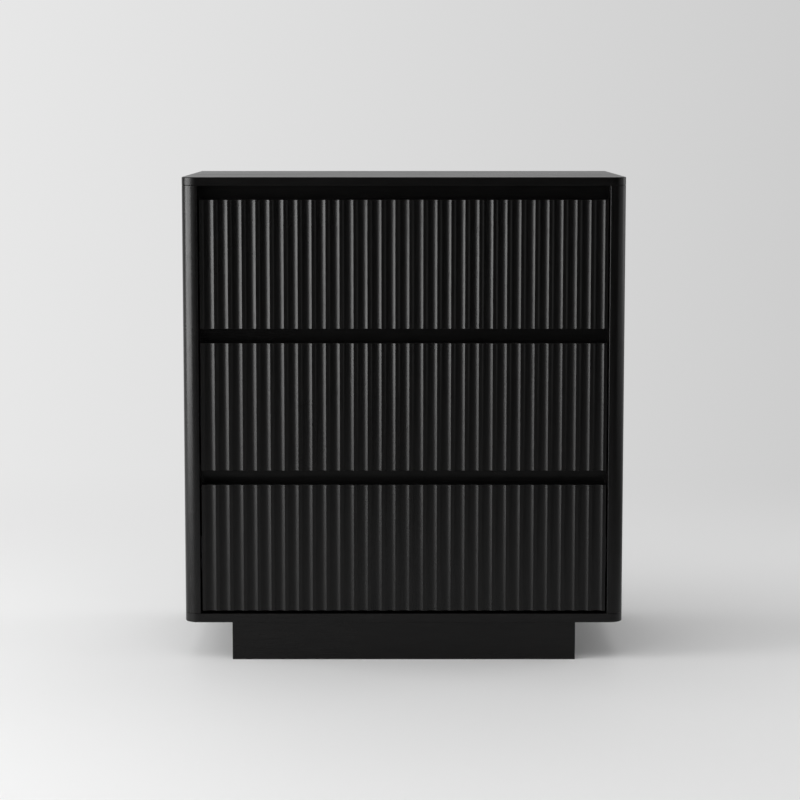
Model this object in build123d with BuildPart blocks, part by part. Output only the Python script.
"""Black nightstand: a case on a plinth with three fluted drawers on telescopic slides.

Units are millimetres. X runs across the front, -Y is the front, +Z is up.
The origin is on the floor under the middle of the case.
"""
import os

from build123d import *

os.makedirs("parts", exist_ok=True)

# ---- overall size ---------------------------------------------------------------
case_width = 600.0
case_depth = 360.0
case_height = 660.0

# ---- case boards ------------------------------------------------------------------
side_thickness = 22.0
top_thickness = 11.0
bottom_thickness = 12.0
corner_radius = 19.0        # the two upright front corners, seen from above
panel_ease = 1.0            # rounding along the outer rims of top and bottom panel
joint_ease = 0.5            # bevel where the side panels meet the top and the bottom
back_thickness = 6.0
back_rebate = 8.0           # how far the back panel reaches into each side panel
back_play = 0.5             # room at the edges of the back panel

# ---- plinth -----------------------------------------------------------------------
plinth_height = 52.0
plinth_side_inset = 65.0
plinth_front_inset = 3.0
plinth_back_inset = 30.0
plinth_thickness = 18.0
block_size = 30.0           # glue blocks in the plinth's corners
block_height = 40.0

# ---- drawer fronts ----------------------------------------------------------------
drawer_count = 3
finger_gap = 19.2           # open slot above every front
foot_gap = 3.6              # narrow gap under the lowest front
side_gap = 2.5              # gap between a front and each side panel
front_recess = 2.0          # how far the fronts sit behind the case's front edge
front_thickness = 18.0
flute_count = 29
land_width = 4.4            # flat strip between two flutes
flute_depth = 2.8
arris_radius = 0.5          # sanded edge between flute and flat strip

# ---- rails behind the finger gaps ---------------------------------------------------
rail_setback = 33.0         # from the case's front edge
rail_thickness = 18.0
rail_below_gap = 12.0
rail_above_gap = 6.0

# ---- drawer boxes -----------------------------------------------------------------
box_wall = 12.0
box_lift = 12.0             # the box starts this far above the front's lower edge
box_headroom = 20.6         # between the top of the box and the rail above it
box_back_room = 24.0        # between the box and the back panel
box_bottom_thickness = 6.0
box_bottom_lift = 8.0       # wood left under the groove for the bottom
groove_depth = 5.0
groove_play = 0.2
wall_round = 2.0            # rounding along the top of the box sides

# ---- telescopic slides --------------------------------------------------------------
slide_thickness = 12.7      # space between case side and drawer box
slide_height = 45.0
slide_metal = 1.2
slide_start = 3.0           # slide's front end behind the back of the drawer front
slide_end = 7.0             # slide's back end ahead of the back of the box
lip_width = 1.0
lip_drop = 2.0              # how far the outer member's lips turn in
outer_ball_room = 2.8       # between the outer and the middle member
inner_ball_room = 3.3       # between the middle and the inner member
head_room = 0.4             # between a screw head and the middle member
web_room = 1.9              # between the middle member and the inner member's web
outer_setback = 3.7         # the outer member stays this far short of the drawer box
inner_web_room = 1.3        # between the inner member and the middle member's web
running_gap = 0.3           # between slide members that pass each other

# ---- fasteners ----------------------------------------------------------------------
screw_radius = 1.75
screw_head_radius = 3.5
pan_head_height = 1.4
fit_clearance = 0.05        # between a shank or dowel and its hole
cross_width = 0.9
cross_span = 3.6
cross_depth = 0.9
slide_screw_bite = 8.4      # how deep a screw goes into the wood behind what it holds
front_screw_bite = 10.6
back_screw_bite = 18.0
plinth_screw_bite = 8.0
slide_screw_inset = 40.0    # from both ends of a slide member to its outer screws
slide_screw_shift = 32.0    # the drawer-side screws sit this far behind the case-side ones
front_screw_side_inset = 73.0       # from the box's inner sides
front_screw_edge_inset = 35.0       # from the lower and the upper edge of the box
back_screw_count = 4                # on each side
back_screw_inset = 41.0             # from the panel's lower and upper edge
dowel_radius = 4.0
dowel_in_slab = 7.0
dowel_in_side = 20.0
dowel_inset = 40.0          # from the case's front and back edges

# ---- sizes that follow ------------------------------------------------------------
front_y = -case_depth / 2
rear_y = case_depth / 2
side_z0 = plinth_height + bottom_thickness
side_z1 = case_height - top_thickness
side_height = side_z1 - side_z0
inner_x = case_width / 2 - side_thickness
inner_width = 2 * inner_x

front_height = (side_height - foot_gap) / drawer_count - finger_gap
front_width = inner_width - 2 * side_gap
face_y = front_y + front_recess
front_back_y = face_y + front_thickness
flute_width = (front_width - (flute_count + 1) * land_width) / flute_count
flute_pitch = flute_width + land_width
flute_radius = (flute_width**2 / 4 + flute_depth**2) / (2 * flute_depth)
drawer_pitch = front_height + finger_gap
drawer_z = [side_z1 - (number + 1) * drawer_pitch for number in range(drawer_count)]

box_width = inner_width - 2 * slide_thickness
box_height = front_height - box_lift - rail_below_gap - box_headroom
box_depth = rear_y - back_thickness - box_back_room - front_back_y
box_side_x = box_width / 2 - box_wall / 2
box_inner_width = box_width - 2 * box_wall
box_bottom_width = box_inner_width + 2 * groove_depth - 2 * groove_play
box_bottom_depth = box_depth - 2 * box_wall + 2 * groove_depth - 2 * groove_play
box_y = front_back_y + box_depth / 2

slide_y0 = front_back_y + slide_start
slide_length = box_depth - slide_start - slide_end
slide_y = slide_y0 + slide_length / 2
slide_screw_reach = slide_length / 2 - slide_screw_inset
slide_screw_y = [slide_y - slide_screw_reach, slide_y, slide_y + slide_screw_reach]
slide_screw_length = pan_head_height + slide_metal + slide_screw_bite
slide_spots = [(y, z + box_lift + box_height / 2) for y in slide_screw_y for z in drawer_z]
outer_flange = slide_thickness - outer_setback
middle_offset = slide_metal + pan_head_height + head_room
middle_flange = slide_thickness - slide_metal - web_room - middle_offset
middle_height = slide_height - 2 * (slide_metal + outer_ball_room)
inner_height = middle_height - 2 * (slide_metal + inner_ball_room)
inner_flange = slide_thickness - middle_offset - slide_metal - inner_web_room

plinth_half = case_width / 2 - plinth_side_inset
plinth_screw_length = block_height + plinth_screw_bite
plinth_y0 = front_y + plinth_front_inset
plinth_y1 = rear_y - plinth_back_inset
block_x = plinth_half - plinth_thickness - block_size / 2
block_y = [
    plinth_y0 + plinth_thickness + block_size / 2,
    plinth_y1 - plinth_thickness - block_size / 2,
]
block_spots = [(x, y) for x in (-block_x, block_x) for y in block_y]

dowel_length = dowel_in_slab + dowel_in_side
dowel_x = case_width / 2 - side_thickness / 2
dowel_y = [front_y + dowel_inset, 0, rear_y - dowel_inset]
dowel_spots = [(x, y) for x in (-dowel_x, dowel_x) for y in dowel_y]

front_screw_length = pan_head_height + box_wall + front_screw_bite
front_screw_x = box_inner_width / 2 - front_screw_side_inset
front_screw_lifts = [
    box_lift + front_screw_edge_inset,
    box_lift + box_height - front_screw_edge_inset,
]
front_screw_spots = [(x, lift) for x in (-front_screw_x, front_screw_x) for lift in front_screw_lifts]

back_screw_length = back_thickness + back_screw_bite
back_screw_x = inner_x + back_rebate / 2
back_screw_pitch = (side_height - 2 * back_screw_inset) / (back_screw_count - 1)
back_screw_z = [
    side_z0 + back_screw_inset + number * back_screw_pitch for number in range(back_screw_count)
]
back_screw_spots = [(x, z) for x in (-back_screw_x, back_screw_x) for z in back_screw_z]


def save(part, name):
    """Name a finished piece and write its STEP file."""
    part.label = name
    export_step(part, f"parts/{name}.step")


def screw(length, sunk):
    """One screw along Z: its head's top face at z = 0, its tip at z = -length."""
    with BuildPart() as piece:
        with BuildSketch(Plane.XZ):
            with BuildLine():
                if sunk:
                    cone_depth = screw_head_radius - screw_radius
                    shoulder = [(screw_head_radius, 0), (screw_radius, -cone_depth)]
                else:
                    shoulder = [
                        (screw_head_radius, 0),
                        (screw_head_radius, -pan_head_height),
                        (screw_radius, -pan_head_height),
                    ]
                tip = [(screw_radius, -length + 2 * screw_radius), (0, -length)]
                Polyline((0, 0), *shoulder, *tip, close=True)
            make_face()
        revolve(axis=Axis.Z)
        with BuildSketch():
            Rectangle(cross_span, cross_width)
            Rectangle(cross_width, cross_span)
        extrude(amount=-cross_depth, mode=Mode.SUBTRACT)
    return piece.part


def at(piece, spots, turn=(0, 0, 0)):
    """Copies of one fastener at every spot, as a group of separate solids."""
    return Compound(children=[Location(spot, turn) * piece for spot in spots])


# ---- the case's outline from above ---------------------------------------------------
with BuildSketch() as case_outline:
    Rectangle(case_width, case_depth)
    fillet(case_outline.vertices().group_by(Axis.Y)[0], corner_radius)


# ---- top and bottom panels ----------------------------------------------------------
def slab(z, thickness, holes_below):
    """A horizontal case panel with round front corners and blind dowel holes."""
    with BuildPart() as piece:
        with BuildSketch(Plane.XY.offset(z)):
            add(case_outline.sketch)
        extrude(amount=thickness)
        rims = piece.edges().group_by(Axis.Z)
        outer, inner = (rims[-1], rims[0]) if holes_below else (rims[0], rims[-1])
        fillet(outer, panel_ease)
        chamfer(inner, joint_ease)
        drill = Plane.XY.offset(z) if holes_below else -Plane.XY.offset(z + thickness)
        with Locations(drill):
            with Locations([(x, y if holes_below else -y) for x, y in dowel_spots]):
                Cylinder(
                    dowel_radius + fit_clearance,
                    dowel_in_slab,
                    align=(Align.CENTER, Align.CENTER, Align.MIN),
                    mode=Mode.SUBTRACT,
                )
    return piece


top_panel = slab(side_z1, top_thickness, holes_below=True)
save(top_panel.part, "top_panel")

bottom_panel = slab(plinth_height, bottom_thickness, holes_below=False)
with bottom_panel:
    with Locations([(x, y, plinth_height) for x, y in block_spots]):
        Cylinder(
            screw_radius + fit_clearance,
            plinth_screw_bite + fit_clearance,
            align=(Align.CENTER, Align.CENTER, Align.MIN),
            mode=Mode.SUBTRACT,
        )
save(bottom_panel.part, "bottom_panel")

# ---- side panels --------------------------------------------------------------------
with BuildPart() as side_panel_right:
    with BuildSketch(Plane.XY.offset(side_z0)):
        add(case_outline.sketch)
        with Locations((inner_x, 0)):
            Rectangle(
                side_thickness, case_depth, align=(Align.MIN, Align.CENTER), mode=Mode.INTERSECT
            )
        with Locations((inner_x, rear_y)):
            Rectangle(
                back_rebate, back_thickness, align=(Align.MIN, Align.MAX), mode=Mode.SUBTRACT
            )
    extrude(amount=side_height)
    ends = side_panel_right.edges().group_by(Axis.Z)
    chamfer(ends[0] + ends[-1], joint_ease)
    inner_edge = side_panel_right.edges().filter_by(Axis.Z).group_by(Axis.Y)[0]
    fillet(inner_edge.sort_by(Axis.X)[0], panel_ease)
    for height, align in ((side_z0, Align.MIN), (side_z1, Align.MAX)):
        with Locations([(dowel_x, y, height) for y in dowel_y]):
            Cylinder(
                dowel_radius + fit_clearance,
                dowel_in_side,
                align=(Align.CENTER, Align.CENTER, align),
                mode=Mode.SUBTRACT,
            )
    with BuildSketch(Plane.YZ.offset(inner_x)):
        with Locations(slide_spots):
            Circle(screw_radius + fit_clearance)
    extrude(amount=slide_screw_bite + fit_clearance, mode=Mode.SUBTRACT)
    with BuildSketch(Plane.XZ.offset(-(rear_y - back_thickness))):
        with Locations([(back_screw_x, z) for z in back_screw_z]):
            Circle(screw_radius + fit_clearance)
    extrude(amount=back_screw_bite + fit_clearance, mode=Mode.SUBTRACT)
save(side_panel_right.part, "side_panel_right")
save(side_panel_right.part.mirror(Plane.YZ), "side_panel_left")

# ---- back panel and rails -----------------------------------------------------------
back_width = inner_width + 2 * (back_rebate - back_play)
with BuildPart() as back_panel:
    with BuildSketch(Plane.XZ.offset(-(rear_y - back_thickness))):
        with Locations((0, side_z0 + side_height / 2)):
            Rectangle(back_width, side_height)
    extrude(amount=-back_thickness)
    chamfer(back_panel.faces().sort_by(Axis.Y)[-1].edges(), joint_ease)
    with Locations(Plane((0, rear_y, 0), x_dir=(-1, 0, 0), z_dir=(0, 1, 0))):
        with Locations(back_screw_spots):
            CounterSinkHole(
                screw_radius + fit_clearance,
                screw_head_radius,
                depth=back_thickness,
                counter_sink_angle=90,
            )
save(back_panel.part, "back_panel")


def rail(z0, z1):
    """A cross rail between the side panels, from height z0 to height z1."""
    with BuildPart() as piece:
        with Locations((0, front_y + rail_setback, z0)):
            Box(inner_width, rail_thickness, z1 - z0, align=(Align.CENTER, Align.MIN, Align.MIN))
        chamfer(piece.edges().filter_by(Axis.X).group_by(Axis.Y)[0], joint_ease)
    return piece.part


rail_names = ["rail_top", "rail_upper", "rail_lower"]
for rail_name, front_z in zip(rail_names, drawer_z):
    gap_z = front_z + front_height
    rail_z1 = min(gap_z + finger_gap + rail_above_gap, side_z1)
    save(rail(gap_z - rail_below_gap, rail_z1), rail_name)

# ---- plinth -------------------------------------------------------------------------
for plinth_name, y0 in (("plinth_front", plinth_y0), ("plinth_back", plinth_y1 - plinth_thickness)):
    with BuildPart() as plinth_board:
        with Locations((0, y0, 0)):
            Box(
                2 * plinth_half,
                plinth_thickness,
                plinth_height,
                align=(Align.CENTER, Align.MIN, Align.MIN),
            )
        chamfer(plinth_board.edges().filter_by(Axis.Z), joint_ease)
    save(plinth_board.part, plinth_name)

with BuildPart() as plinth_right:
    with Locations((plinth_half, plinth_y0 + plinth_thickness, 0)):
        Box(
            plinth_thickness,
            plinth_y1 - plinth_y0 - 2 * plinth_thickness,
            plinth_height,
            align=(Align.MAX, Align.MIN, Align.MIN),
        )
save(plinth_right.part, "plinth_right")
save(plinth_right.part.mirror(Plane.YZ), "plinth_left")

with BuildPart() as plinth_block:
    Box(block_size, block_size, block_height, align=(Align.CENTER, Align.CENTER, Align.MIN))
    with Locations(Plane((0, 0, 0), x_dir=(1, 0, 0), z_dir=(0, 0, -1))):
        CounterSinkHole(
            screw_radius + fit_clearance,
            screw_head_radius,
            depth=block_height,
            counter_sink_angle=90,
        )
block_z = plinth_height - block_height
block_group = [(x, y, block_z) for x, y in block_spots]
save(at(plinth_block.part, block_group), "plinth_blocks")


# ---- drawers --------------------------------------------------------------------------
def fluted_front(z):
    """A drawer front whose lower edge is at height z, with flutes from edge to edge."""
    with BuildPart() as piece:
        with BuildSketch(Plane.XY.offset(z)) as outline:
            with Locations((0, face_y)):
                Rectangle(front_width, front_thickness, align=(Align.CENTER, Align.MIN))
            with Locations((0, face_y + flute_depth - flute_radius)):
                with GridLocations(flute_pitch, 1, flute_count, 1):
                    Circle(flute_radius, mode=Mode.SUBTRACT)
            face_corners = outline.vertices().group_by(Axis.Y)[0].sort_by(Axis.X)
            fillet(face_corners[1:-1], arris_radius)
        extrude(amount=front_height)
        rims = piece.edges().group_by(Axis.Z)
        chamfer(rims[0] + rims[-1], joint_ease)
        with BuildSketch(Plane.XZ.offset(-front_back_y)):
            with Locations([(x, z + lift) for x, lift in front_screw_spots]):
                Circle(screw_radius + fit_clearance)
        extrude(amount=front_screw_bite + fit_clearance, mode=Mode.SUBTRACT)
    return piece.part


def box_side(z):
    """The right side board of a drawer box, grooved for the bottom."""
    with BuildPart() as piece:
        with Locations((box_side_x, front_back_y, z)):
            Box(box_wall, box_depth, box_height, align=(Align.CENTER, Align.MIN, Align.MIN))
        fillet(piece.edges().filter_by(Axis.Y).group_by(Axis.Z)[-1], wall_round)
        with Locations((box_side_x - box_wall / 2, front_back_y, z + box_bottom_lift)):
            Box(
                groove_depth,
                box_depth,
                box_bottom_thickness + groove_play,
                align=(Align.MIN, Align.MIN, Align.MIN),
                mode=Mode.SUBTRACT,
            )
        with BuildSketch(Plane.YZ.offset(box_width / 2)):
            with Locations([(y + slide_screw_shift, z + box_height / 2) for y in slide_screw_y]):
                Circle(screw_radius + fit_clearance)
        extrude(amount=-(slide_screw_bite + fit_clearance), mode=Mode.SUBTRACT)
    return piece.part


def box_end(z, y0, inner_face):
    """The front or back board of a drawer box; inner_face is Align.MIN or Align.MAX in Y."""
    groove_y = y0 if inner_face is Align.MIN else y0 + box_wall
    with BuildPart() as piece:
        with Locations((0, y0, z)):
            Box(box_inner_width, box_wall, box_height, align=(Align.CENTER, Align.MIN, Align.MIN))
        fillet(piece.edges().filter_by(Axis.X).group_by(Axis.Z)[-1], wall_round)
        with Locations((0, groove_y, z + box_bottom_lift)):
            Box(
                box_inner_width,
                groove_depth,
                box_bottom_thickness + groove_play,
                align=(Align.CENTER, inner_face, Align.MIN),
                mode=Mode.SUBTRACT,
            )
        if inner_face is Align.MAX:
            with BuildSketch(Plane.XZ.offset(-y0)):
                with Locations([(x, z - box_lift + lift) for x, lift in front_screw_spots]):
                    Circle(screw_radius + fit_clearance)
            extrude(amount=-box_wall, mode=Mode.SUBTRACT)
    return piece.part


def box_bottom(z):
    """The bottom of a drawer box, resting on the lower faces of the grooves."""
    with BuildPart() as piece:
        with Locations((0, box_y, z + box_bottom_lift)):
            Box(
                box_bottom_width,
                box_bottom_depth,
                box_bottom_thickness,
                align=(Align.CENTER, Align.CENTER, Align.MIN),
            )
    return piece.part


def slide_plane(z):
    """A sketch plane across the right-hand slide: local x runs from case to drawer."""
    return Plane((inner_x, slide_y0, z), x_dir=(-1, 0, 0), z_dir=(0, 1, 0))


def slide_outer(z):
    """Case member: a channel with turned-in lips, screwed to the side panel."""
    with BuildPart() as piece:
        with BuildSketch(slide_plane(z)):
            Rectangle(outer_flange, slide_height, align=(Align.MIN, Align.CENTER))
            with Locations((slide_metal, 0)):
                Rectangle(
                    outer_flange - slide_metal - lip_width,
                    slide_height - 2 * slide_metal,
                    align=(Align.MIN, Align.CENTER),
                    mode=Mode.SUBTRACT,
                )
                Rectangle(
                    outer_flange,
                    slide_height - 2 * (slide_metal + lip_drop),
                    align=(Align.MIN, Align.CENTER),
                    mode=Mode.SUBTRACT,
                )
        extrude(amount=slide_length)
        with BuildSketch(Plane.YZ.offset(inner_x)):
            with Locations([(y, z) for y in slide_screw_y]):
                Circle(screw_radius + fit_clearance)
        extrude(amount=-slide_metal, mode=Mode.SUBTRACT)
    return piece.part


def slide_middle(z):
    """Running member: a channel with a ball cage above and below each flange."""
    cage_start = middle_offset + 2 * slide_metal
    cage_end = outer_flange - lip_width - running_gap
    outer_cage = slide_height - 2 * (slide_metal + running_gap)
    with BuildPart() as piece:
        with BuildSketch(slide_plane(z)):
            with Locations((cage_start, 0)):
                Rectangle(cage_end - cage_start, outer_cage, align=(Align.MIN, Align.CENTER))
            with Locations((middle_offset, 0)):
                Rectangle(middle_flange, middle_height, align=(Align.MIN, Align.CENTER))
            with Locations((middle_offset + slide_metal, 0)):
                Rectangle(
                    middle_flange,
                    inner_height + 2 * running_gap,
                    align=(Align.MIN, Align.CENTER),
                    mode=Mode.SUBTRACT,
                )
        extrude(amount=slide_length)
    return piece.part


def slide_inner(z):
    """Drawer member: a channel open towards the case, screwed to the drawer side."""
    with BuildPart() as piece:
        with BuildSketch(slide_plane(z)):
            with Locations((slide_thickness, 0)):
                Rectangle(inner_flange, inner_height, align=(Align.MAX, Align.CENTER))
            with Locations((slide_thickness - slide_metal, 0)):
                Rectangle(
                    inner_flange,
                    inner_height - 2 * slide_metal,
                    align=(Align.MAX, Align.CENTER),
                    mode=Mode.SUBTRACT,
                )
        extrude(amount=slide_length)
        with BuildSketch(Plane.YZ.offset(box_width / 2)):
            with Locations([(y + slide_screw_shift, z) for y in slide_screw_y]):
                Circle(screw_radius + fit_clearance)
        extrude(amount=slide_metal, mode=Mode.SUBTRACT)
    return piece.part


slide_screw = screw(slide_screw_length, sunk=False)
front_screw = screw(front_screw_length, sunk=False)
case_screw_x = inner_x - slide_metal - pan_head_height
drawer_screw_x = box_width / 2 + slide_metal + pan_head_height
front_screw_y = front_back_y + box_wall + pan_head_height

for index, front_z in enumerate(drawer_z):
    drawer = f"drawer_{index + 1}"
    box_z = front_z + box_lift
    mid_z = box_z + box_height / 2
    save(fluted_front(front_z), f"{drawer}_front")
    save(box_end(box_z, front_back_y, Align.MAX), f"{drawer}_box_front")
    save(box_end(box_z, front_back_y + box_depth - box_wall, Align.MIN), f"{drawer}_box_back")
    save(box_bottom(box_z), f"{drawer}_box_bottom")

    sided = {
        f"{drawer}_box_side": box_side(box_z),
        f"slide_{index + 1}_outer": slide_outer(mid_z),
        f"slide_{index + 1}_middle": slide_middle(mid_z),
        f"slide_{index + 1}_inner": slide_inner(mid_z),
    }
    for name, right_hand in sided.items():
        save(right_hand, f"{name}_right")
        save(right_hand.mirror(Plane.YZ), f"{name}_left")

    slide_spots_right = [(drawer_screw_x, y + slide_screw_shift, mid_z) for y in slide_screw_y]
    slide_spots_left = [(-x, y, z) for x, y, z in slide_spots_right]
    drawer_screws = Compound(
        children=[
            at(slide_screw, slide_spots_right, (0, 90, 0)),
            at(slide_screw, slide_spots_left, (0, -90, 0)),
        ]
    )
    save(drawer_screws, f"{drawer}_slide_screws")
    front_spots = [(x, front_screw_y, front_z + lift) for x, lift in front_screw_spots]
    save(at(front_screw, front_spots, (-90, 0, 0)), f"{drawer}_front_screws")

# ---- fasteners in the case --------------------------------------------------------------
case_spots_right = [(case_screw_x, y, z) for y, z in slide_spots]
case_spots_left = [(-x, y, z) for x, y, z in case_spots_right]
case_slide_screws = Compound(
    children=[
        at(slide_screw, case_spots_right, (0, -90, 0)),
        at(slide_screw, case_spots_left, (0, 90, 0)),
    ]
)
save(case_slide_screws, "case_slide_screws")

back_spots = [(x, rear_y, z) for x, z in back_screw_spots]
save(at(screw(back_screw_length, sunk=True), back_spots, (-90, 0, 0)), "back_screws")
save(at(screw(plinth_screw_length, sunk=True), block_group, (180, 0, 0)), "plinth_screws")

with BuildPart() as dowel:
    Cylinder(dowel_radius, dowel_length, align=(Align.CENTER, Align.CENTER, Align.MIN))
    chamfer(dowel.edges().filter_by(GeomType.CIRCLE), joint_ease)
dowel_group = [
    (x, y, z)
    for x, y in dowel_spots
    for z in (side_z0 - dowel_in_slab, side_z1 + dowel_in_slab - dowel_length)
]
save(at(dowel.part, dowel_group), "case_dowels")
